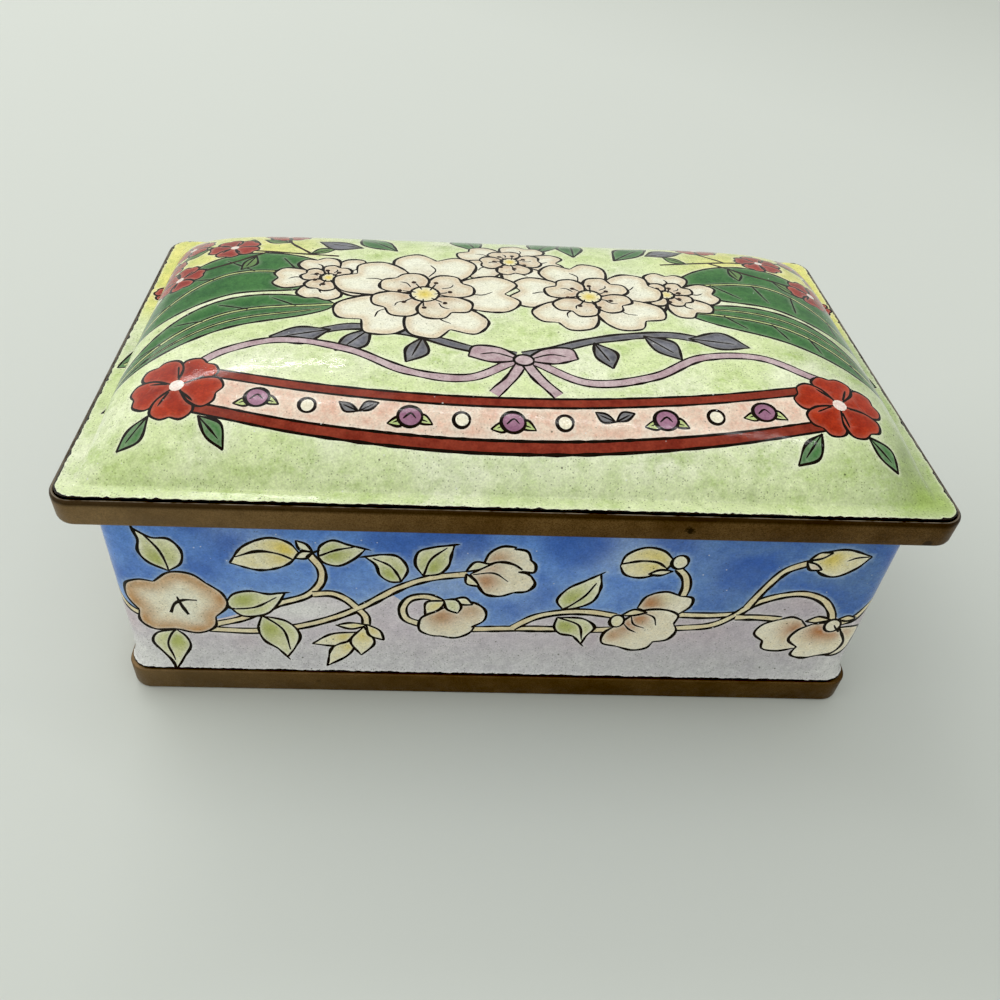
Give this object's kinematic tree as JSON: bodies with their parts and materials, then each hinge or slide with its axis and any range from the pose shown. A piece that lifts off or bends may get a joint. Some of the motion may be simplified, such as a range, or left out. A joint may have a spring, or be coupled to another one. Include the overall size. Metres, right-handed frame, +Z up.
{
  "type": "enamel box",
  "caption": "Rectangular painted-enamel trinket box: straight hollow body on a bronze foot band, with a cushion-domed lift-off lid in a bronze band that overhangs the walls.",
  "frame": {"origin": "middle of the underside, on the plane that the foot band stands on", "axes": "+X along the length, +Z up, and -Y is the front"},
  "size_m": [0.126, 0.076, 0.054],
  "materials": {
    "bronze": "satin, browned, fine grain",
    "lid_enamel": "glossy painted enamel, pale green with flowers",
    "wall_enamel": "glossy painted enamel, blue over pale mauve with a flowering vine",
    "base_enamel": "plain glossy counter-enamel"
  },
  "bodies": {
    "root": {"foot_band": "bronze", "base_plate": "base_enamel", "body_walls": "wall_enamel", "lid_band": "bronze", "lid_shell": "lid_enamel"}
  },
  "joints": []
}
